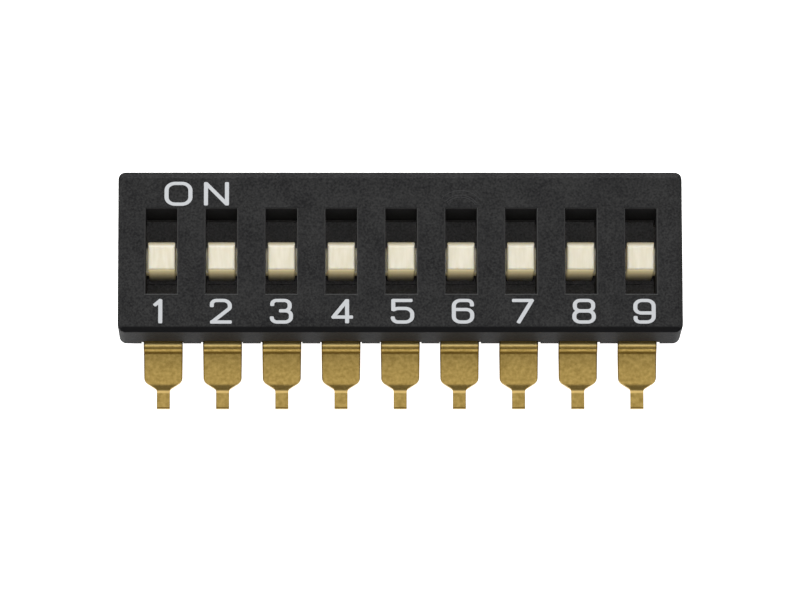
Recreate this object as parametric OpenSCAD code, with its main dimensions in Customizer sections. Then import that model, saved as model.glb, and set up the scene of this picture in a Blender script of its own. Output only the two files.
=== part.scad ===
// Surface-mount slide DIP switch: a row of single-pole switches at one pitch.
// X runs along the row from position 1, +Y is the ON side, Z = 0 is the board.

/* [Row] */
// Number of switches in the row
positions = 9; // [2:1:12]
// Distance between neighbouring switches
pitch = 2.54; // [2.45:0.01:3.2]

/* [Cover] */
// Cover beyond the first and the last switch's cell
cover_end = 0.53; // [0.4:0.01:1.5]
// Depth of the cover, front to back
cover_d = 6.89; // [6.5:0.01:9]
// Distance of the row's middle to the right of the cover's middle
row_x = 0.04; // [-0.1:0.01:0.1]
// Height of the cover above the deck of the base
roof_h = 2.65; // [2.3:0.05:3.6]
// How far the cover's skirt reaches down over the base
skirt_h = 0.3; // [0.25:0.01:0.6]
// Wall of the skirt
skirt_t = 0.43; // [0.35:0.01:0.6]
// Bevel around the face
face_bevel = 0.2; // [0.05:0.01:0.3]
// Extra width of the bevel along the rear edge
rear_bevel = 0.085; // [0:0.005:0.15]
// Radius of the upright corners
corner_r = 0.33; // [0.1:0.01:0.4]
// Height of the relief in the rim over each terminal
notch_h = 0.6; // [0.35:0.05:0.8]
// How far each relief is wider than its terminal, on one side
notch_side = 0.03; // [0.02:0.01:0.15]

/* [Slots] */
// Width of a slot in the face
slot_w = 1.34; // [1.3:0.01:1.45]
// Length of a slot in the face
slot_l = 3.67; // [3.4:0.01:4.2]
// Distance of the slots' middle behind the middle of the cover
slot_y = 0.015; // [-0.1:0.005:0.1]
// Broken edge around a slot's mouth
mouth_bevel = 0.05; // [0.01:0.005:0.06]
// Thickness of the roof over the wings of the sliders
ledge_t = 1.6; // [1.3:0.05:1.7]
// How far each pocket under the roof is wider than its slot, on one side
pocket_side = 0.32; // [0.3:0.01:0.36]

/* [Base] */
// Height of the base, board to deck
base_h = 2.65; // [2.4:0.05:3.2]
// Depth of the wells in the deck
well_h = 0.45; // [0.4:0.01:0.6]
// Bevel along the foot of the base
foot_bevel = 0.12; // [0.05:0.01:0.2]
// Height of the rib across each well
rib_h = 0.1; // [0.05:0.01:0.15]
// Thickness of the rib across each well
rib_t = 0.13; // [0.08:0.01:0.25]
// Radius of the snap beads on the two ends
bead_r = 0.08; // [0.05:0.005:0.1]
// Length of the snap beads
bead_l = 3; // [1:0.1:4]
// Radius of the gate marks in the wells
gate_r = 0.13; // [0.08:0.01:0.2]
// Depth of the gate marks
gate_h = 0.04; // [0.02:0.01:0.06]
// Distance of each gate mark from the rear end of its well
gate_back = 0.65; // [0.3:0.05:1]
// Radius of the ejector marks under the base
ejector_r = 0.6; // [0.4:0.05:0.9]
// Depth of the ejector marks
ejector_h = 0.06; // [0.03:0.01:0.15]
// Distance of the ejector marks from the ends of the cover
ejector_in = 5.08; // [2:0.02:6]

/* [Sliders] */
// Width of a knob
knob_w = 1.15; // [1.1:0.01:1.24]
// Length of a knob
knob_l = 1.25; // [1.1:0.01:1.35]
// How far the top of a knob lies below the face
knob_sink = 0.5; // [0.1:0.05:0.8]
// Radius of a knob's front edge
knob_front_r = 0.1; // [0.03:0.01:0.35]
// Radius of a knob's rear edge
knob_rear_r = 0.3; // [0.1:0.01:0.4]
// Radius of a knob's two side edges
knob_side_r = 0.07; // [0.03:0.01:0.15]
// Radius of a knob's upright corners
knob_corner_r = 0.09; // [0.04:0.01:0.2]
// Place of a knob's middle when its switch is off
off_y = -0.09; // [-0.15:0.005:0.05]
// Length of a slider's wings, along the travel
wing_l = 1.05; // [0.9:0.01:1.2]
// Travel of a slider from off to on
travel = 1.2; // [0.9:0.05:1.25]

/* [Moving contacts] */
// Thickness of the contact strip
contact_t = 0.08; // [0.06:0.01:0.1]
// Width of the contact strip, along the travel
contact_w = 0.5; // [0.4:0.02:0.6]
// Gap between the two fingers of a contact's legs
finger_gap = 0.1; // [0.06:0.01:0.16]
// Radius of the contact's bends, to the middle of the strip
contact_r = 0.08; // [0.06:0.01:0.1]
// Straight part of a contact's leg
leg_l = 0.28; // [0.2:0.01:0.32]
// Turn from the contact's bridge into a leg
leg_angle = 78; // [70:1:85]
// Further turn that curls the tip of a leg inwards
curl_angle = 50; // [30:1:60]

/* [Terminals] */
// Thickness of the terminal strip
strip_t = 0.2; // [0.15:0.01:0.22]
// Width of a terminal's broad part
lead_w = 1.71; // [1.2:0.01:1.8]
// Slope of a terminal's two long sides
side_taper = 0.8; // [0:0.1:2]
// Width of a terminal's narrow foot
foot_w = 0.56; // [0.4:0.01:0.8]
// Height of a terminal's top side where it leaves the base
exit_z = 0.85; // [0.75:0.01:1.1]
// Height of a front terminal's broad part at its rear end, top side
pad_z = 0.52; // [0.5:0.01:0.6]
// Fall of a front terminal's broad part towards its foot
pad_fall = 5; // [0:0.5:6]
// Radius of the bends, to the middle of the strip
bend_r = 0.2; // [0.15:0.01:0.22]
// Radius of a front terminal's sharp bend behind its broad part
crease_r = 0.12; // [0.11:0.01:0.2]
// Radius of the bend where a front terminal's broad part turns down
brow_r = 0.35; // [0.2:0.01:0.4]
// Radius of the bend at a front terminal's heel
heel_r = 0.38; // [0.2:0.01:0.4]
// Slope of a front terminal's step down to its broad part
step_angle = 52; // [45:1:65]
// Slope of a front terminal's step down to its foot
heel_angle = 36; // [30:1:40]
// Slope of a rear terminal's step
rear_angle = 75; // [60:1:80]
// Straight part of a front terminal before its first step
front_root = 0.2; // [0.1:0.01:0.4]
// Straight part of a rear terminal before its step
rear_root = 0.12; // [0.05:0.01:0.3]
// Reach of the front terminals from the base
front_reach = 2.91; // [2.8:0.01:3.5]
// Reach of the rear terminals from the base
rear_reach = 1.1; // [1:0.01:1.4]
// Flat sole of a front terminal
front_sole = 0.66; // [0.35:0.01:0.7]
// Distance from the base to a front terminal's shoulders
front_shoulder = 1.6; // [1.4:0.01:1.75]
// Distance from the base to a rear terminal's shoulders
rear_shoulder = 0.2; // [0.1:0.01:0.3]
// Slope of the shoulders
shoulder_angle = 60; // [45:1:70]
// Radius of the shoulders' outer corners
shoulder_r = 0.3; // [0.1:0.01:0.35]
// Radius of the shoulders' inner corners
neck_r = 0.14; // [0.05:0.01:0.15]
// Distance of a blade's root from the base's wall
root_in = 0.35; // [0.3:0.01:0.5]
// Length of a blade's root
root_l = 0.75; // [0.6:0.01:0.9]
// Height of the bar between a blade and its root
neck_h = 0.45; // [0.3:0.01:0.55]
// Depth of that bar under the floor of the well
neck_in = 0.25; // [0.2:0.01:0.3]
// Height of the blades above the floor of their well
blade_h = 0.7; // [0.55:0.01:0.75]
// Gap between a contact that is off and the rear blade
open_gap = 0.25; // [0.15:0.01:0.35]

/* [Clearances] */
// Between the base and the cover's skirt
fit_gap = 0.02; // [0.01:0.005:0.04]
// Between a slider and what it runs along
run_gap = 0.03; // [0.02:0.005:0.05]
// Between a slider and its end stops
stop_gap = 0.02; // [0.01:0.005:0.04]
// Between a contact's fingers and the blades
touch_gap = 0.02; // [0.01:0.005:0.03]

/* [Hidden] */
$fn = 48;
eps = 0.01;
bend_cuts = 8;

cover_l = positions * pitch + 2 * cover_end;
face_z = base_h + roof_h;
rim_z = base_h - skirt_h;
base_l = cover_l - 2 * (skirt_t + fit_gap);
base_d = cover_d - 2 * (skirt_t + fit_gap);
floor_z = base_h - well_h;

pocket_w = slot_w + 2 * pocket_side;
pocket_y0 = off_y - wing_l / 2 - stop_gap;
pocket_l = wing_l + travel + 2 * stop_gap;
pocket_z = face_z - ledge_t;

knob_z0 = floor_z + run_gap;
knob_h = face_z - knob_sink - knob_z0;
rib_y0 = off_y - knob_l / 2 - stop_gap - rib_t;
wing_w = pocket_w - 2 * run_gap;
wing_z0 = floor_z + blade_h + run_gap;
wing_z1 = pocket_z - run_gap;

blade_x = pocket_w / 2 - fit_gap / 2 - strip_t;
web_z = floor_z + blade_h - contact_t;
leg_x = blade_x - touch_gap;
rear_blade_y = off_y + contact_w / 2 + open_gap;
front_blade_y = off_y + travel + contact_w / 2 + stop_gap;

fold_y1 = base_d / 2 - root_in;
fold_y0 = fold_y1 - root_l;
blade_neck_z = floor_z - neck_in;
blade_root_z = blade_neck_z - neck_h;
notch_w = lead_w + 2 * notch_side;

// Place of a switch's middle along the row
function switch_x(i) = row_x + (i - (positions + 1) / 2) * pitch;

// Unit vector at an angle
function along(a) = [cos(a), sin(a)];

// A line that is bent like a strip: each step is a straight run, a turn and its radius.
// Returns the points with their headings.
function bent_line(steps, at = [0, 0], a = 0, i = 0) =
    i == len(steps) ? [[at, a]] :
    let (
        turn = steps[i][1],
        r = steps[i][2] * sign(turn),
        corner = at + steps[i][0] * along(a),
        middle = corner + r * along(a + 90),
        bend = turn == 0 ? [] : [for (k = [0:bend_cuts - 1])
            let (h = a + turn * k / bend_cuts) [middle - r * along(h + 90), h]]
    )
    concat([[at, a]], bend, bent_line(steps, middle - r * along(a + turn + 90), a + turn, i + 1));

// Outline of a strip of thickness t around a bent line
function strip_outline(line, t) = concat(
    [for (p = line) p[0] + t / 2 * along(p[1] + 90)],
    [for (k = [len(line) - 1:-1:0]) line[k][0] - t / 2 * along(line[k][1] + 90)]
);

// Sloping run of a step that drops by h at angle a, with a bend of radius r1 at its level end and
// one of radius r2 at its other end, which may fall at angle b
function slope_run(h, a, r1, r2, b = 0) = (h - r1 * (1 - cos(a)) - r2 * (cos(b) - cos(a))) / sin(a);

// Length that such a step takes up
function slope_reach(h, a, r1, r2, b = 0) =
    slope_run(h, a, r1, r2, b) * cos(a) + r1 * sin(a) + r2 * (sin(a) - sin(b));

// Upright prism along X of an outline drawn in Y and Z
module along_x(w) {
    rotate([90, 0, 90]) linear_extrude(w, center = true) children();
}

// Upright prism along Y of an outline drawn in X and Z
module along_y(l) {
    rotate([90, 0, 0]) linear_extrude(l, center = true) children();
}

// Rectangle that stands on y = 0, with its left and right upper corners rounded
module domed_rect(w, h, r_left, r_right) {
    translate([r_left - w / 2, 0]) square([w - r_left - r_right, h]);
    translate([-w / 2, 0]) square([2 * r_left, h - r_left]);
    translate([w / 2 - 2 * r_right, 0]) square([2 * r_right, h - r_right]);
    translate([r_left - w / 2, h - r_left]) circle(r_left);
    translate([w / 2 - r_right, h - r_right]) circle(r_right);
}

// Rectangle about the origin with four round corners
module round_rect(w, d, r) {
    square([w - 2 * r, d], center = true);
    square([w, d - 2 * r], center = true);
    for (x = [-1, 1], y = [-1, 1])
        translate([x * (w / 2 - r), y * (d / 2 - r)]) circle(r);
}

// Rectangle on y = 0 with its two upper corners cut, the right one wider by extra
module bevelled_rect(w, h, c, extra = 0) {
    polygon([
        [-w / 2, 0], [w / 2, 0], [w / 2, h - c],
        [w / 2 - c - extra, h], [-w / 2 + c, h], [-w / 2, h - c]
    ]);
}

// Slot in the face, with its broken edge
module slot() {
    flare = mouth_bevel + eps;
    translate([-slot_w / 2, slot_y - slot_l / 2, rim_z]) cube([slot_w, slot_l, face_z - rim_z + eps]);
    translate([0, slot_y, face_z - mouth_bevel]) intersection() {
        along_y(2 * slot_l) polygon([
            [-slot_w / 2, 0], [slot_w / 2, 0],
            [slot_w / 2 + flare, flare], [-slot_w / 2 - flare, flare]
        ]);
        along_x(2 * slot_w) polygon([
            [-slot_l / 2, 0], [slot_l / 2, 0],
            [slot_l / 2 + flare, flare], [-slot_l / 2 - flare, flare]
        ]);
    }
}

// Room in which a slider's wings run, down to a given height
module pocket(z0, z1) {
    translate([-pocket_w / 2, pocket_y0, z0]) cube([pocket_w, pocket_l, z1 - z0]);
}

module cover() {
    color("#2b2c2e") difference() {
        intersection() {
            translate([0, 0, rim_z]) linear_extrude(face_z - rim_z) round_rect(cover_l, cover_d, corner_r);
            along_x(2 * cover_l) bevelled_rect(cover_d, face_z, face_bevel, rear_bevel);
            along_y(2 * cover_d) bevelled_rect(cover_l, face_z, face_bevel);
        }
        // seat for the deck of the base, with grooves for its snap beads
        translate([0, 0, rim_z - eps]) linear_extrude(skirt_h + eps)
            square([base_l + 2 * fit_gap, base_d + 2 * fit_gap], center = true);
        for (side = [-1, 1]) snap_bead(side, bead_r + fit_gap);
        for (i = [1:positions]) translate([switch_x(i), 0, 0]) {
            slot();
            pocket(rim_z, pocket_z);
            for (side = [-1, 1])
                translate([-notch_w / 2, side * cover_d / 2 - skirt_t - fit_gap, rim_z - eps])
                    cube([notch_w, 2 * (skirt_t + fit_gap), notch_h + eps]);
        }
    }
}

// Bead on one end of the base that snaps into the cover
module snap_bead(side, r) {
    translate([side * base_l / 2, 0, rim_z + skirt_h / 2])
        rotate([90, 0, 0]) cylinder(h = bead_l, r = r, center = true);
}

module base() {
    color("#232426") difference() {
        union() {
            intersection() {
                translate([-base_l / 2, -base_d / 2, 0]) cube([base_l, base_d, base_h]);
                translate([0, 0, base_h]) mirror([0, 0, 1]) {
                    along_x(2 * base_l) bevelled_rect(base_d, base_h, foot_bevel);
                }
                translate([0, 0, base_h]) mirror([0, 0, 1]) {
                    along_y(2 * base_d) bevelled_rect(base_l, base_h, foot_bevel);
                }
            }
            for (side = [-1, 1]) snap_bead(side, bead_r);
        }
        for (i = [1:positions]) translate([switch_x(i), 0, 0]) {
            difference() {
                union() {
                    translate([-slot_w / 2, slot_y - slot_l / 2, floor_z]) cube([slot_w, slot_l, well_h + eps]);
                    pocket(floor_z, base_h + eps);
                }
                translate([-slot_w / 2, rib_y0, 0]) cube([slot_w, rib_t, floor_z + rib_h]);
            }
            translate([gate_r, slot_y + slot_l / 2 - gate_back, floor_z - gate_h])
                cylinder(h = gate_h + eps, r = gate_r);
            front_terminal_shape();
            rear_terminal_shape();
        }
        for (side = [-1, 1])
            translate([side * (cover_l / 2 - ejector_in), 0, -eps])
                cylinder(h = ejector_h + eps, r = ejector_r);
    }
}

module slider() {
    translate([0, off_y, 0]) difference() {
        union() {
            translate([0, 0, knob_z0]) intersection() {
                along_x(2 * knob_w) domed_rect(knob_l, knob_h, knob_front_r, knob_rear_r);
                along_y(2 * knob_l) domed_rect(knob_w, knob_h, knob_side_r, knob_side_r);
                linear_extrude(knob_h) round_rect(knob_w, knob_l, knob_corner_r);
            }
            translate([-wing_w / 2, -wing_l / 2, wing_z0]) cube([wing_w, wing_l, wing_z1 - wing_z0]);
        }
        // notch that the contact is pushed up into
        translate([-knob_w, -contact_w / 2, knob_z0 - eps])
            cube([2 * knob_w, contact_w, web_z + contact_t - knob_z0 + eps]);
    }
}

// Moving contact: a bridge under the slider with a sprung leg on each side
module contact() {
    out = leg_x - contact_t / 2 - contact_r - leg_l * cos(leg_angle);
    half = bent_line([
        [out, -leg_angle, contact_r],
        [leg_l, -curl_angle, contact_r],
        [contact_t, 0, 0]
    ], [0, web_z + contact_t / 2]);
    translate([0, off_y, 0]) difference() {
        for (side = [0, 1]) mirror([side, 0, 0])
            along_y(contact_w) polygon(strip_outline(half, contact_t));
        for (side = [-1, 1])
            translate([side * leg_x, 0, web_z - contact_r])
                cube([contact_w, finger_gap, 4 * leg_l], center = true);
    }
}

// Terminal that leaves the base along +Y: a formed lead, and a blade folded up from its edge
module terminal(steps, shoulder, reach, blade_y0, blade_y1) {
    wall = base_d / 2;
    start = [fold_y0, exit_z - strip_t / 2];
    broad = wall - fold_y0 + shoulder;
    slope = slope_run((lead_w - foot_w) / 2 - broad * tan(side_taper), shoulder_angle, shoulder_r, neck_r);
    side = bent_line([
        [broad, side_taper - shoulder_angle, shoulder_r],
        [slope, shoulder_angle, neck_r],
        [reach, 0, 0]
    ], [fold_y0, lead_w / 2], -side_taper);
    intersection() {
        along_x(2 * lead_w) polygon(strip_outline(bent_line(steps, start), strip_t));
        linear_extrude(2 * base_h, center = true) polygon(concat(
            [for (p = side) [p[0][1], p[0][0]]],
            [for (k = [len(side) - 1:-1:0]) [-side[k][0][1], side[k][0][0]]]
        ));
    }
    fold = bent_line([
        [blade_x + strip_t / 2 - bend_r, 90, bend_r],
        [strip_t, 0, 0]
    ], [0, exit_z - strip_t / 2]);
    translate([0, (fold_y0 + fold_y1) / 2, 0])
        along_y(fold_y1 - fold_y0) polygon(strip_outline(fold, strip_t));
    translate([blade_x + strip_t / 2, 0, 0]) along_x(strip_t) polygon([
        [fold_y0, exit_z - strip_t / 2 + bend_r], [fold_y1, exit_z - strip_t / 2 + bend_r],
        [fold_y1, blade_neck_z], [blade_y1, blade_neck_z],
        [blade_y1, floor_z + blade_h], [blade_y0, floor_z + blade_h],
        [blade_y0, blade_root_z], [fold_y0, blade_root_z]
    ]);
}

module front_terminal_shape() {
    step_1 = exit_z - pad_z;
    drop = pad_z - strip_t;
    root = base_d / 2 - fold_y0 + front_root;
    // the broad part falls as well, so the last step drops by the rest
    pad = (front_reach - front_root - front_sole
        - slope_reach(step_1, step_angle, bend_r, crease_r, pad_fall)
        - slope_reach(drop, heel_angle, heel_r, brow_r, pad_fall))
        / (cos(pad_fall) - sin(pad_fall) / tan(heel_angle));
    step_2 = drop - pad * sin(pad_fall);
    rotate([0, 0, 180]) terminal([
        [root, -step_angle, bend_r],
        [slope_run(step_1, step_angle, bend_r, crease_r, pad_fall), step_angle - pad_fall, crease_r],
        [pad, pad_fall - heel_angle, brow_r],
        [slope_run(step_2, heel_angle, heel_r, brow_r, pad_fall), heel_angle, heel_r],
        [front_sole, 0, 0]
    ], front_shoulder, front_reach, -front_blade_y, -pocket_y0 - fit_gap);
}

module rear_terminal_shape() {
    step = exit_z - strip_t;
    root = base_d / 2 - fold_y0 + rear_root;
    terminal([
        [root, -rear_angle, bend_r],
        [slope_run(step, rear_angle, bend_r, bend_r), rear_angle, bend_r],
        [rear_reach - rear_root - slope_reach(step, rear_angle, bend_r, bend_r), 0, 0]
    ], rear_shoulder, rear_reach, rear_blade_y, pocket_y0 + pocket_l - fit_gap);
}

cover();
base();
for (i = [1:positions]) translate([switch_x(i), 0, 0]) {
    color("#e8e1c9") slider();
    color("#d9b45c") contact();
    color("#c29a48") front_terminal_shape();
    color("#c29a48") rear_terminal_shape();
}
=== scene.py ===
import math

import bmesh
import bpy
from mathutils import Matrix, Vector


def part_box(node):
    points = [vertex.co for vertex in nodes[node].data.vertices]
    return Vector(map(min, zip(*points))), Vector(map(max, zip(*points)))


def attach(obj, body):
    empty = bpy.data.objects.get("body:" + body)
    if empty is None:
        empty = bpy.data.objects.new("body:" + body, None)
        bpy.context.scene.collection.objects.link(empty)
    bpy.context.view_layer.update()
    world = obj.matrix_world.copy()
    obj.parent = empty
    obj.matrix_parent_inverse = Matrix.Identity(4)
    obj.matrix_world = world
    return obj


print("slide DIP switch: loading the packed model")
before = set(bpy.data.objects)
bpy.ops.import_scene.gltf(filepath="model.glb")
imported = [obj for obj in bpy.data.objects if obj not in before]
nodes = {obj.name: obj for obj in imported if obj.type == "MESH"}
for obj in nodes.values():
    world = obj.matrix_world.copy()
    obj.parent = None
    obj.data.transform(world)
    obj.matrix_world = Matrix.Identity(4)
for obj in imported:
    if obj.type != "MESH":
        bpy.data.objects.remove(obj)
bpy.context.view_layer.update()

mm = 0.001  # everything in the scene is in metres
edgeSamples = 6  # rays that find the rounded edges of the black, cream and gold finishes
coverLow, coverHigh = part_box("cover")
faceZ = coverHigh.z
coverFront = coverLow.y
knobBoxes = [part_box(name) for name in sorted(nodes) if name.startswith("slider_")]
switchX = [(low.x + high.x) / 2 for low, high in knobBoxes]
knobTop = knobBoxes[0][1].z
knobRear = knobBoxes[0][1].y


def toLinear(code):  # sRGB hex to linear RGBA
    parts = [int(code[i:i + 2], 16) / 255 for i in (1, 3, 5)]
    return tuple(c / 12.92 if c <= 0.04045 else ((c + 0.055) / 1.055) ** 2.4 for c in parts) + (1.0,)


def addNode(tree, kind, settings=None, **links):
    # settings are the node's own, links fill its inputs with a value, a socket or a node's first output;
    # i0, i1 and so on are inputs by number: a colour mix has its amount at i0, its colours at i6 and i7, and
    # its result at output 2
    node = tree.nodes.new(kind)
    for key, value in (settings or {}).items():
        setattr(node, key, value)
    for key, value in links.items():
        socket = node.inputs[int(key[1:])] if key[1:].isdigit() else node.inputs[key.replace("_", " ")]
        if isinstance(value, bpy.types.Node):
            value = value.outputs[0]
        if isinstance(value, bpy.types.NodeSocket):
            tree.links.new(value, socket)
        else:
            socket.default_value = value
    return node


def emptyMaterial(name):
    material = bpy.data.materials.new(name)
    material.use_nodes = True
    material.node_tree.nodes.clear()
    return material, material.node_tree


# PBT with glass fibre, injection moulded in a spark-eroded tool: a dry, even black with a fine grain and
# faint flow clouds. Painted highlight makes the narrow rims of the slots paler, painted light makes the
# walls and floors inside them paler, and painted shade makes the front side with its bevel a deeper black.
blackPbt = {
    "dark": "#212122", "light": "#363636", "contrast": (0.5, 0.9), "ior": 1.55, "specular": 0.008,
    "grainSize": 0.085 * mm, "grainDetail": 3.0, "grainDepth": 0.012 * mm, "grainStrength": 0.6,
    "cloudSize": 1.3 * mm, "cloudDetail": 4.0, "cloudShare": 0.4, "roughness": (0.42, 0.52),
    "edgeRadius": 0.015 * mm,
    "slotsReach": (11.2 * mm, 2.5 * mm),  # the slots lie within this much of the middle, along X and Y
    "rim": "#444444", "rimDepth": 0.05 * mm, "paintedWallLight": "#424244",
    "paintedFloorLight": ("#727275", "#99999c"), "floorDepth": 3.15 * mm,
    "paintedFrontShade": "#1d1d1e", "frontBevel": 0.17 * mm,
}


def mouldedPbt(name, isBase):
    c = blackPbt
    material, tree = emptyMaterial(name)
    coords = addNode(tree, "ShaderNodeTexCoord").outputs["Object"]
    grain = addNode(tree, "ShaderNodeTexNoise", None, Vector=coords, Scale=1 / c["grainSize"],
                    Detail=c["grainDetail"])
    cloud = addNode(tree, "ShaderNodeTexNoise", None, Vector=coords, Scale=1 / c["cloudSize"],
                    Detail=c["cloudDetail"])
    mottle = addNode(tree, "ShaderNodeMath", {"operation": "MULTIPLY_ADD"}, i0=cloud, i1=c["cloudShare"],
                     i2=grain)
    amount = addNode(tree, "ShaderNodeMapRange", None, Value=mottle, From_Min=c["contrast"][0],
                     From_Max=c["contrast"][1])
    colour = addNode(tree, "ShaderNodeMix", {"data_type": "RGBA"}, i0=amount,
                     i6=toLinear(c["dark"]), i7=toLinear(c["light"]))
    place = addNode(tree, "ShaderNodeSeparateXYZ", None, Vector=coords)
    depth = addNode(tree, "ShaderNodeMath", {"operation": "SUBTRACT"}, i0=faceZ, i1=place.outputs["Z"])
    within = []
    for axis, reach in zip("XY", c["slotsReach"]):
        away = addNode(tree, "ShaderNodeMath", {"operation": "ABSOLUTE"}, i0=place.outputs[axis])
        within.append(addNode(tree, "ShaderNodeMapRange", None, Value=away, From_Min=reach,
                              From_Max=reach + c["rimDepth"], To_Min=1.0, To_Max=0.0))
    zone = addNode(tree, "ShaderNodeMath", {"operation": "MULTIPLY"}, i0=within[0], i1=within[1])
    if isBase:
        # Painted light makes the floors seen through the slots paler.
        paintedFloorColour = addNode(tree, "ShaderNodeMix", {"data_type": "RGBA"}, i0=amount,
                       i6=toLinear(c["paintedFloorLight"][0]), i7=toLinear(c["paintedFloorLight"][1]))
        floorLightMask = addNode(tree, "ShaderNodeMapRange", None, Value=depth, From_Min=c["floorDepth"],
                        From_Max=c["floorDepth"] + c["rimDepth"], To_Min=1.0, To_Max=0.0)
        floorLightMask = addNode(tree, "ShaderNodeMath", {"operation": "MULTIPLY"}, i0=floorLightMask, i1=zone)
        colour = addNode(tree, "ShaderNodeMix", {"data_type": "RGBA"}, i0=floorLightMask, i6=colour.outputs[2],
                         i7=paintedFloorColour.outputs[2])
    else:
        # Painted highlight on the rims of the slots, then painted light on the walls inside them.
        for start, shade in ((0.1 * c["rimDepth"], c["rim"]), (1.1 * c["rimDepth"], c["paintedWallLight"])):
            paintedLightMask = addNode(tree, "ShaderNodeMapRange", None, Value=depth, From_Min=start,
                            From_Max=start + 0.1 * c["rimDepth"])
            paintedLightMask = addNode(tree, "ShaderNodeMath", {"operation": "MULTIPLY"}, i0=paintedLightMask, i1=zone)
            colour = addNode(tree, "ShaderNodeMix", {"data_type": "RGBA"}, i0=paintedLightMask, i6=colour.outputs[2],
                             i7=toLinear(shade))
        # Painted shade: the front side and its bevel are a deeper black.
        front = addNode(tree, "ShaderNodeMapRange", None, Value=place.outputs["Y"],
                        From_Min=coverFront + c["frontBevel"], From_Max=coverFront + 1.5 * c["frontBevel"],
                        To_Min=1.0, To_Max=0.0)
        colour = addNode(tree, "ShaderNodeMix", {"data_type": "RGBA"}, i0=front, i6=colour.outputs[2],
                         i7=toLinear(c["paintedFrontShade"]))
    rough = addNode(tree, "ShaderNodeMapRange", None, Value=grain, From_Min=0.3, From_Max=0.7,
                    To_Min=c["roughness"][0], To_Max=c["roughness"][1])
    edge = addNode(tree, "ShaderNodeBevel", {"samples": edgeSamples}, Radius=c["edgeRadius"])
    bump = addNode(tree, "ShaderNodeBump", None, Height=grain, Distance=c["grainDepth"],
                   Strength=c["grainStrength"], Normal=edge)
    surface = addNode(tree, "ShaderNodeBsdfPrincipled", None, Base_Color=colour.outputs[2], Roughness=rough,
                      Normal=bump, IOR=c["ior"], Specular_IOR_Level=c["specular"])
    addNode(tree, "ShaderNodeOutputMaterial", None, Surface=surface)
    return material


# Nylon 66 in natural cream, injection moulded: slightly waxy, and light passes a little way in. A warm
# painted glow (emission) on the flanks of each knob stands in for light that enters at the top; it is
# strongest on the front flank and dies away downwards. Painted shade makes the rounded rear greyer.
creamNylon = {
    "shade": "#d1cab2", "light": "#dcd6c4", "roughness": 0.42, "ior": 1.53, "edgeRadius": 0.015 * mm,
    "flowWidth": 0.16 * mm, "flowLength": 0.9 * mm, "flowDetail": 3.0, "waveDepth": 0.003 * mm,
    "waveStrength": 0.5, "inner": 0.4, "reach": (1.0, 0.7, 0.3), "depth": 0.3 * mm,
    "paintedFlankGlow": "#ffeaae", "flankGlow": 0.5, "sideGlow": 0.2, "flankEdge": 0.05 * mm, "flankDepth": 2.6 * mm,
    "flankFade": 2.0, "slope": 0.32 * mm, "paintedRearShade": "#6f6a5a",
}


def mouldedNylon(name):
    c = creamNylon
    material, tree = emptyMaterial(name)
    coords = addNode(tree, "ShaderNodeTexCoord").outputs["Object"]
    drawn = addNode(tree, "ShaderNodeMapping", None, Vector=coords,
                    Scale=(c["flowLength"] / c["flowWidth"], 1, 1))
    flow = addNode(tree, "ShaderNodeTexNoise", None, Vector=drawn, Scale=1 / c["flowLength"],
                   Detail=c["flowDetail"])
    amount = addNode(tree, "ShaderNodeMapRange", None, Value=flow, From_Min=0.3, From_Max=0.7)
    colour = addNode(tree, "ShaderNodeMix", {"data_type": "RGBA"}, i0=amount,
                     i6=toLinear(c["shade"]), i7=toLinear(c["light"]))
    place = addNode(tree, "ShaderNodeSeparateXYZ", None, Vector=coords)
    # Painted shade makes the rounded rear of the knob greyer.
    slope = addNode(tree, "ShaderNodeMapRange", None, Value=place.outputs["Y"],
                    From_Min=knobRear - c["slope"], From_Max=knobRear)
    colour = addNode(tree, "ShaderNodeMix", {"data_type": "RGBA"}, i0=slope, i6=colour.outputs[2],
                     i7=toLinear(c["paintedRearShade"]))
    edge = addNode(tree, "ShaderNodeBevel", {"samples": edgeSamples}, Radius=c["edgeRadius"])
    bump = addNode(tree, "ShaderNodeBump", None, Height=flow, Distance=c["waveDepth"],
                   Strength=c["waveStrength"], Normal=edge)
    height = place.outputs["Z"]
    # Painted glow: emission on the flanks, strongest on the front flank, fading downwards.
    fade = addNode(tree, "ShaderNodeMapRange", None, Value=height, From_Min=knobTop - c["flankDepth"],
                   From_Max=knobTop)
    edgeFade = addNode(tree, "ShaderNodeMapRange", None, Value=height, From_Min=knobTop - c["flankEdge"],
                       From_Max=knobTop - c["flankEdge"] / 4, To_Min=c["flankGlow"], To_Max=0.0)
    fade = addNode(tree, "ShaderNodeMath", {"operation": "POWER"}, i0=fade, i1=c["flankFade"])
    paintedFlankGlow = addNode(tree, "ShaderNodeMath", {"operation": "MULTIPLY"}, i0=fade, i1=edgeFade)
    flat = addNode(tree, "ShaderNodeNewGeometry").outputs["True Normal"]
    facing = addNode(tree, "ShaderNodeVectorMath", {"operation": "DOT_PRODUCT"}, i0=flat, i1=(0, -1, 0))
    frontFade = addNode(tree, "ShaderNodeMapRange", None, Value=facing.outputs["Value"],
                        From_Min=0.0, From_Max=1.0, To_Min=c["sideGlow"], To_Max=1.0)
    paintedFlankGlow = addNode(tree, "ShaderNodeMath", {"operation": "MULTIPLY"}, i0=paintedFlankGlow, i1=frontFade)
    surface = addNode(tree, "ShaderNodeBsdfPrincipled", None, Base_Color=colour.outputs[2],
                      Roughness=c["roughness"], Normal=bump, IOR=c["ior"], Subsurface_Weight=c["inner"],
                      Subsurface_Radius=c["reach"], Subsurface_Scale=c["depth"],
                      Emission_Color=toLinear(c["paintedFlankGlow"]), Emission_Strength=paintedFlankGlow)
    addNode(tree, "ShaderNodeOutputMaterial", None, Surface=surface)
    return material
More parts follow.
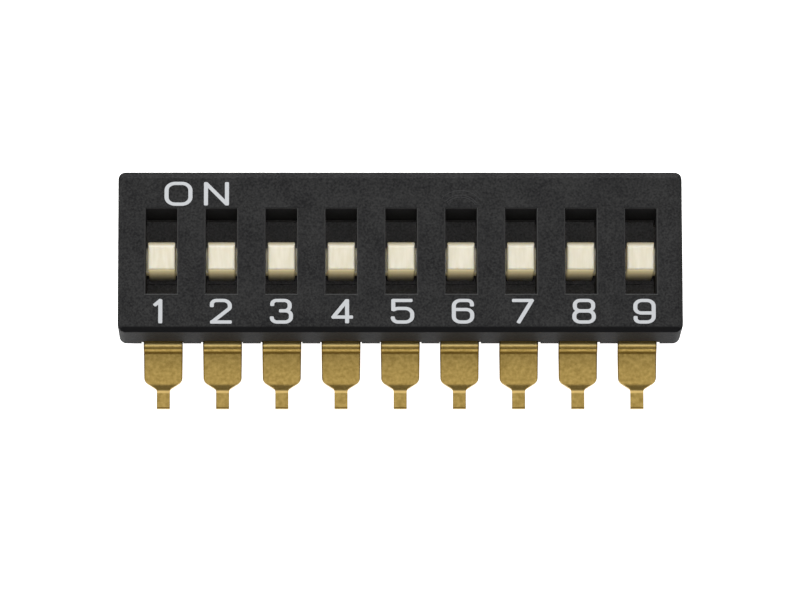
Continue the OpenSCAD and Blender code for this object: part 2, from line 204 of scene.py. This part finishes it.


# Stamped and formed brass strip with a thin gold plate: satin, with fine rolling lines along the strip and
# small dull patches. Painted shade darkens the sheared edges, the step's crease and the tip; painted
# highlights light the bends.
goldPlate = {
    "dull": "#b0934f", "bright": "#cbad64", "contactBright": "#dcbd78", "roughness": (0.28, 0.38),
    "patchSize": 0.14 * mm, "patchDetail": 5.0, "edgeRadius": 0.03 * mm,
    "lineWidth": 0.02 * mm, "lineLength": 0.9 * mm, "lineDetail": 2.0, "lineDepth": 0.0012 * mm,
    "lineStrength": 0.4, "leadWidth": 1.65 * mm, "sheared": 0.07 * mm, "paintedEdgeShade": "#6a5020",
    # bands across the front leads: distance out from the cover, half width, shade
    "bands": (
        (-0.225 * mm, 0.08 * mm, "#ffe49a"),  # painted highlight on the bend at the root
        (0.095 * mm, 0.075 * mm, "#6f5825"),  # painted shade in the crease of the step
        (1.715 * mm, 0.09 * mm, "#f2d084"),  # painted highlight on the heel
        (2.415 * mm, 0.035 * mm, "#806832"),  # painted shade on the rounded tip
    ),
}


def platedBrass(name, bright):
    c = goldPlate
    material, tree = emptyMaterial(name)
    coords = addNode(tree, "ShaderNodeTexCoord").outputs["Object"]
    patch = addNode(tree, "ShaderNodeTexNoise", None, Vector=coords, Scale=1 / c["patchSize"],
                    Detail=c["patchDetail"])
    amount = addNode(tree, "ShaderNodeMapRange", None, Value=patch, From_Min=0.3, From_Max=0.7)
    colour = addNode(tree, "ShaderNodeMix", {"data_type": "RGBA"}, i0=amount,
                     i6=toLinear(c["dull"]), i7=toLinear(bright))
    rough = addNode(tree, "ShaderNodeMapRange", None, Value=patch, From_Min=0.25, From_Max=0.75,
                    To_Min=c["roughness"][1], To_Max=c["roughness"][0])
    rolled = addNode(tree, "ShaderNodeMapping", None, Vector=coords,
                     Scale=(c["lineLength"] / c["lineWidth"], 1, 1))
    line = addNode(tree, "ShaderNodeTexNoise", None, Vector=rolled, Scale=1 / c["lineLength"],
                   Detail=c["lineDetail"])
    place = addNode(tree, "ShaderNodeSeparateXYZ", None, Vector=coords)
    for out, half, shade in c["bands"]:
        offset = addNode(tree, "ShaderNodeMath", {"operation": "SUBTRACT"}, i0=place.outputs["Y"],
                         i1=coverFront - out)
        offset = addNode(tree, "ShaderNodeMath", {"operation": "ABSOLUTE"}, i0=offset)
        band = addNode(tree, "ShaderNodeMapRange", None, Value=offset, From_Min=half / 3, From_Max=half,
                       To_Min=1.0, To_Max=0.0)
        colour = addNode(tree, "ShaderNodeMix", {"data_type": "RGBA"}, i0=band, i6=colour.outputs[2],
                         i7=toLinear(shade))
    # pingpong repeats the distance from the middle of a lead at every lead of the row
    away = addNode(tree, "ShaderNodeMath", {"operation": "SUBTRACT"}, i0=place.outputs["X"], i1=switchX[0])
    away = addNode(tree, "ShaderNodeMath", {"operation": "PINGPONG"}, i0=away,
                   i1=(switchX[1] - switchX[0]) / 2)
    # Painted shade along the sheared edges of each lead.
    sheared = addNode(tree, "ShaderNodeMapRange", None, Value=away,
                      From_Min=c["leadWidth"] / 2 - c["sheared"], From_Max=c["leadWidth"] / 2)
    colour = addNode(tree, "ShaderNodeMix", {"data_type": "RGBA"}, i0=sheared, i6=colour.outputs[2],
                     i7=toLinear(c["paintedEdgeShade"]))
    edge = addNode(tree, "ShaderNodeBevel", {"samples": edgeSamples}, Radius=c["edgeRadius"])
    bump = addNode(tree, "ShaderNodeBump", None, Height=line, Distance=c["lineDepth"],
                   Strength=c["lineStrength"], Normal=edge)
    surface = addNode(tree, "ShaderNodeBsdfPrincipled", None, Base_Color=colour.outputs[2], Roughness=rough,
                      Normal=bump, Metallic=1.0)
    addNode(tree, "ShaderNodeOutputMaterial", None, Surface=surface)
    return material


# Two-part ink, pad printed: a dull white film that lets a little of the black through.
padInk = {
    "thin": "#b4b7bb", "full": "#bcbec0", "roughness": 0.6, "grainSize": 0.05 * mm, "grainDetail": 3.0,
    "filmDepth": 0.002 * mm, "filmStrength": 0.5,
}


def printedInk(name):
    c = padInk
    material, tree = emptyMaterial(name)
    coords = addNode(tree, "ShaderNodeTexCoord").outputs["Object"]
    grain = addNode(tree, "ShaderNodeTexNoise", None, Vector=coords, Scale=1 / c["grainSize"],
                    Detail=c["grainDetail"])
    amount = addNode(tree, "ShaderNodeMapRange", None, Value=grain, From_Min=0.3, From_Max=0.65)
    colour = addNode(tree, "ShaderNodeMix", {"data_type": "RGBA"}, i0=amount,
                     i6=toLinear(c["thin"]), i7=toLinear(c["full"]))
    bump = addNode(tree, "ShaderNodeBump", None, Height=grain, Distance=c["filmDepth"],
                   Strength=c["filmStrength"])
    surface = addNode(tree, "ShaderNodeBsdfPrincipled", None, Base_Color=colour.outputs[2],
                      Roughness=c["roughness"], Normal=bump)
    addNode(tree, "ShaderNodeOutputMaterial", None, Surface=surface)
    return material


print("making the materials")
coverPbt = mouldedPbt("moulded black PBT, cover", False)
basePbt = mouldedPbt("moulded black PBT, base", True)
goldTerminal = platedBrass("gold-plated stamped brass", goldPlate["bright"])
finishes = {
    "cover": coverPbt, "base": basePbt, "slider": mouldedNylon("moulded cream nylon"),
    "contact": platedBrass("gold-plated spring brass", goldPlate["contactBright"]),
    "front": goldTerminal, "rear": goldTerminal,
}
inkFinish = printedInk("white pad-printed ink")
for name, node in nodes.items():
    node.data.materials.clear()
    node.data.materials.append(finishes[name.split("_")[0]])


def addPiece(name, bm, finish):
    mesh = bpy.data.meshes.new(name)
    bm.to_mesh(mesh)
    bm.free()
    mesh.materials.append(finish)
    piece = bpy.data.objects.new(name, mesh)
    bpy.context.scene.collection.objects.link(piece)
    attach(piece, "housing")


# The lettering: a glyph is one or more strokes, a stroke is a row of corners (x, y, radius) in a cell one
# wide and one high about its middle. The pen is broader across than up and down.
lettering = {
    "digitSize": (0.775 * mm, 0.925 * mm), "onSize": (1.01 * mm, 0.897 * mm),
    "pen": 0.14 * mm, "penAcross": 1.24, "capLength": 0.4, "capCorner": 0.3, "capSteps": 3, "arcSteps": 8,
    "weld": 0.0014 * mm, "film": 0.006 * mm, "filmStep": 0.0004 * mm,
    "digitLine": -2.578 * mm, "digitStart": -0.034 * mm, "digitDrift": 0.02 * mm,
    "onLine": 2.482 * mm, "onPlaces": (0.719 * mm, 2.329 * mm),
}
digitStrokes = {
    "1": [[(-0.28, 0.3), (0.0, 0.5)], [(0.0, 0.5), (0.0, -0.5)]],
    "2": [[(-0.49, 0.25), (-0.49, 0.5, 0.17), (0.49, 0.5, 0.24), (0.49, 0.14, 0.14), (-0.48, -0.5)],
          [(-0.5, -0.5), (0.51, -0.5)]],
    "3": [[(-0.5, 0.3), (-0.5, 0.5, 0.16), (0.45, 0.5, 0.2), (0.45, 0.02, 0.2), (-0.04, 0.02)],
          [(0.12, 0.02), (0.52, 0.02, 0.2), (0.52, -0.5, 0.22), (-0.52, -0.5, 0.19), (-0.52, -0.3)]],
    "4": [[(0.28, 0.5), (0.28, -0.5)], [(0.26, 0.49), (-0.47, -0.27)], [(-0.47, -0.27), (0.52, -0.27)]],
    "5": [[(0.46, 0.5), (-0.5, 0.5)], [(-0.5, 0.5), (-0.5, 0.07)],
          [(-0.48, 0.07), (-0.3, 0.13, 0.3), (0.53, 0.13, 0.26), (0.53, -0.5, 0.26), (-0.53, -0.5, 0.2),
           (-0.53, -0.3)]],
    "6": [[(0.49, 0.28), (0.49, 0.5, 0.17), (-0.5, 0.5, 0.25), (-0.5, -0.5, 0.25), (0.5, -0.5, 0.25),
           (0.5, 0.08, 0.22), (0.2, 0.08)], [(0.2, 0.08), (-0.45, 0.08)]],
    "7": [[(-0.54, 0.5), (0.46, 0.5)], [(0.46, 0.5), (-0.26, -0.5)]],
    "8": [[(0.5, 0.02, 0.2), (0.5, 0.5, 0.2), (-0.5, 0.5, 0.2), (-0.5, 0.02, 0.2)],
          [(0.53, 0.01, 0.22), (0.53, -0.5, 0.22), (-0.53, -0.5, 0.22), (-0.53, 0.01, 0.22)]],
    "9": [[(-0.49, -0.28), (-0.49, -0.5, 0.17), (0.5, -0.5, 0.25), (0.5, 0.5, 0.25), (-0.5, 0.5, 0.25),
           (-0.5, -0.08, 0.22), (-0.2, -0.08)], [(-0.2, -0.08), (0.45, -0.08)]],
}
onStrokes = {
    "O": [[(0.5, -0.5, 0.33), (0.5, 0.5, 0.33), (-0.5, 0.5, 0.33), (-0.5, -0.5, 0.33)]],
    "N": [[(-0.44, -0.5), (-0.44, 0.5)], [(-0.42, 0.48), (0.42, -0.48)], [(0.44, -0.5), (0.44, 0.5)]],
}
closedGlyphs = ("8", "O")


def penStroke(bm, corners, closed):
    # an edge as long as the pen is wide is drawn along the runs and spun round the corners
    c = lettering
    places = [Vector((x, y, 0)) for x, y, radius in corners]
    radii = [radius for x, y, radius in corners]
    if closed:
        middle = (places[0] + places[-1]) / 2
        places, radii = [middle] + places + [middle], [0] + radii + [0]
    heading = (places[1] - places[0]).normalized()
    across = heading.cross(Vector((0, 0, c["pen"] / 2)))
    place = places[0] if closed else places[0] - heading * c["pen"] * c["capLength"]
    ends = [bm.verts.new(place + across), bm.verts.new(place - across)]
    edge = bm.edges.new(ends)
    for i in range(1, len(places)):
        target, turn, after = places[i], 0, heading
        if i < len(places) - 1:
            after = (places[i + 1] - places[i]).normalized()
            turn = math.copysign(heading.angle(after), heading.cross(after).z)
            target = places[i] - heading * radii[i] * math.tan(abs(turn) / 2)
        elif not closed:
            target = places[i] + heading * c["pen"] * c["capLength"]
        grown = bmesh.ops.extrude_edge_only(bm, edges=[edge])["geom"]
        moved = [v for v in grown if isinstance(v, bmesh.types.BMVert)]
        bmesh.ops.translate(bm, verts=moved, vec=target - place)
        edge = next(e for e in grown if isinstance(e, bmesh.types.BMEdge))
        place = target
        if turn:
            centre = place + Vector((-heading.y, heading.x, 0)) * math.copysign(radii[i], turn)
            grown = bmesh.ops.spin(bm, geom=list(edge.verts) + [edge], cent=centre, axis=(0, 0, 1),
                                   angle=turn, steps=c["arcSteps"])["geom_last"]
            edge = next(e for e in grown if isinstance(e, bmesh.types.BMEdge))
            place = centre + Matrix.Rotation(turn, 3, "Z") @ (place - centre)
            heading = after
    if closed:
        bmesh.ops.remove_doubles(bm, verts=bm.verts, dist=c["weld"])
    else:
        bmesh.ops.bevel(bm, geom=ends + list(edge.verts), offset=c["pen"] * c["capCorner"],
                        affect="VERTICES", segments=c["capSteps"], profile=0.5, material=-1)


def printGlyph(name, strokes, closed, size, place):
    c = lettering
    whole = bmesh.new()
    for i, corners in enumerate(strokes):
        bm = bmesh.new()
        penStroke(bm, [(x * size[0] / c["penAcross"], y * size[1], r[0] * size[1] if r else 0)
                       for x, y, *r in corners], closed)
        height = c["film"] - i * c["filmStep"]  # strokes that cross differ a little, so no faces coincide
        bmesh.ops.translate(bm, verts=bm.verts, vec=(0, 0, -height))
        raised = bmesh.ops.extrude_face_region(bm, geom=bm.faces[:], use_keep_orig=True)["geom"]
        bmesh.ops.translate(bm, verts=[v for v in raised if isinstance(v, bmesh.types.BMVert)],
                            vec=(0, 0, 2 * height))
        bmesh.ops.recalc_face_normals(bm, faces=bm.faces)
        bmesh.ops.scale(bm, verts=bm.verts, vec=(c["penAcross"], 1, 1))
        bmesh.ops.translate(bm, verts=bm.verts, vec=place)
        stroke = bpy.data.meshes.new(name)
        bm.to_mesh(stroke)
        bm.free()
        whole.from_mesh(stroke)
        bpy.data.meshes.remove(stroke)
    addPiece(name, whole, inkFinish)


print("printing the face")
for i, x in enumerate(switchX):
    key = str(i + 1)
    middle = x + lettering["digitStart"] + i * lettering["digitDrift"]
    place = Vector((middle, lettering["digitLine"], faceZ))
    printGlyph("digit_" + key, digitStrokes[key], key in closedGlyphs, lettering["digitSize"], place)
for key, x in zip("ON", lettering["onPlaces"]):
    place = Vector((switchX[0] + x, lettering["onLine"], faceZ))
    printGlyph("letter_" + key, onStrokes[key], key in closedGlyphs, lettering["onSize"], place)


# Faint arcs above the sixth slot, rubbed a little paler than the face. The angles are in degrees.
toolMarks = {
    "slot": 6, "place": (-0.03 * mm, 1.55 * mm), "radii": (0.79 * mm, 0.88 * mm, 1.08 * mm),
    "width": 0.035 * mm, "height": 0.003 * mm, "from": 38, "to": 136, "steps": 24,
    "shade": "#404041", "roughness": 0.5,
}


def makeToolMarks():
    c = toolMarks
    rubbed, tree = emptyMaterial("moulded black PBT, rubbed")
    surface = addNode(tree, "ShaderNodeBsdfPrincipled", None, Base_Color=toLinear(c["shade"]),
                      Roughness=c["roughness"], IOR=blackPbt["ior"], Specular_IOR_Level=blackPbt["specular"])
    addNode(tree, "ShaderNodeOutputMaterial", None, Surface=surface)
    bm = bmesh.new()
    centre = Vector((switchX[c["slot"] - 1] + c["place"][0], c["place"][1], faceZ))
    start = Matrix.Rotation(math.radians(c["from"]), 3, "Z")
    for radius in c["radii"]:
        profile = [(radius - c["width"] / 2, 0, -c["height"]), (radius, 0, c["height"]),
                   (radius + c["width"] / 2, 0, -c["height"])]
        verts = [bm.verts.new(centre + start @ Vector(p)) for p in profile]
        face = bm.faces.new(verts)
        bmesh.ops.spin(bm, geom=verts + list(face.edges) + [face], cent=centre, axis=(0, 0, 1),
                       angle=math.radians(c["to"] - c["from"]), steps=c["steps"])
    bmesh.ops.recalc_face_normals(bm, faces=bm.faces)
    addPiece("tool_marks", bm, rubbed)


makeToolMarks()

print("setting the table, the lights and the camera")
# An opal light table under one large soft ceiling, with a small soft box behind on the left.
studio = {
    "tableSize": 1.6, "tableColour": "#f2f2f1", "tableRoughness": 0.8, "tableSpecular": 0.1,
    "glowColour": "#ffffff", "tableGlow": 1.05, "world": "#ffffff", "worldStrength": 0.2,
    "ceiling": {"place": (0.0, -0.15, 1.0), "size": 1.3, "power": 3.8},
    "rearLeft": {"place": (-0.05, 0.28, 0.33), "size": 0.18, "power": 2.0},
}


def makeTable():
    c = studio
    bpy.ops.mesh.primitive_plane_add(size=c["tableSize"], location=(0, 0, 0))
    table = bpy.context.object
    table.name = "table"
    material, tree = emptyMaterial("opal acrylic sheet, lit from below")
    surface = addNode(tree, "ShaderNodeBsdfPrincipled", None, Base_Color=toLinear(c["tableColour"]),
                      Roughness=c["tableRoughness"], Specular_IOR_Level=c["tableSpecular"],
                      Emission_Color=toLinear(c["glowColour"]), Emission_Strength=c["tableGlow"])
    addNode(tree, "ShaderNodeOutputMaterial", None, Surface=surface)
    table.data.materials.append(material)


def makeLight(name):
    c = studio[name]
    light = bpy.data.lights.new(name, "AREA")
    light.shape = "SQUARE"
    light.size = c["size"]
    light.energy = c["power"]
    holder = bpy.data.objects.new(name, light)
    holder.location = c["place"]
    holder.rotation_euler = (-Vector(c["place"])).to_track_quat("-Z", "Y").to_euler()
    bpy.context.scene.collection.objects.link(holder)


def makeRoom():
    room = bpy.data.worlds.new("dim room")
    room.use_nodes = True
    background = room.node_tree.nodes["Background"]
    background.inputs["Color"].default_value = toLinear(studio["world"])
    background.inputs["Strength"].default_value = studio["worldStrength"]
    bpy.context.scene.world = room


makeTable()
makeRoom()
for name in ("ceiling", "rearLeft"):
    makeLight(name)

# A long lens above the face, leaning to the front by the tilt in degrees, and a little to the left. The
# field is what the width of the frame takes in at the face.
view = {
    "tilt": 10.3, "left": 3.4 * mm, "distance": 310 * mm, "fieldWidth": 33.84 * mm,
    "aim": (-0.018 * mm, -2.095 * mm), "sensorWidth": 36, "clip": (0.01, 10),
}


def makeCamera():
    c = view
    camera = bpy.data.cameras.new("camera")
    camera.sensor_width = c["sensorWidth"]
    camera.lens = camera.sensor_width * c["distance"] / c["fieldWidth"]
    camera.clip_start, camera.clip_end = c["clip"]
    tilt = math.radians(c["tilt"])
    towards = Vector((c["left"] / c["distance"], math.sin(tilt), -math.cos(tilt))).normalized()
    up = Vector((1, 0, 0)).cross(towards).normalized()
    holder = bpy.data.objects.new("camera", camera)
    holder.location = Vector((c["aim"][0], c["aim"][1], faceZ)) - towards * c["distance"]
    holder.rotation_euler = Matrix((towards.cross(up), up, -towards)).transposed().to_euler()
    bpy.context.scene.collection.objects.link(holder)
    bpy.context.scene.camera = holder


makeCamera()
bpy.context.scene.view_settings.view_transform = "Standard"

print("slide DIP switch: done")
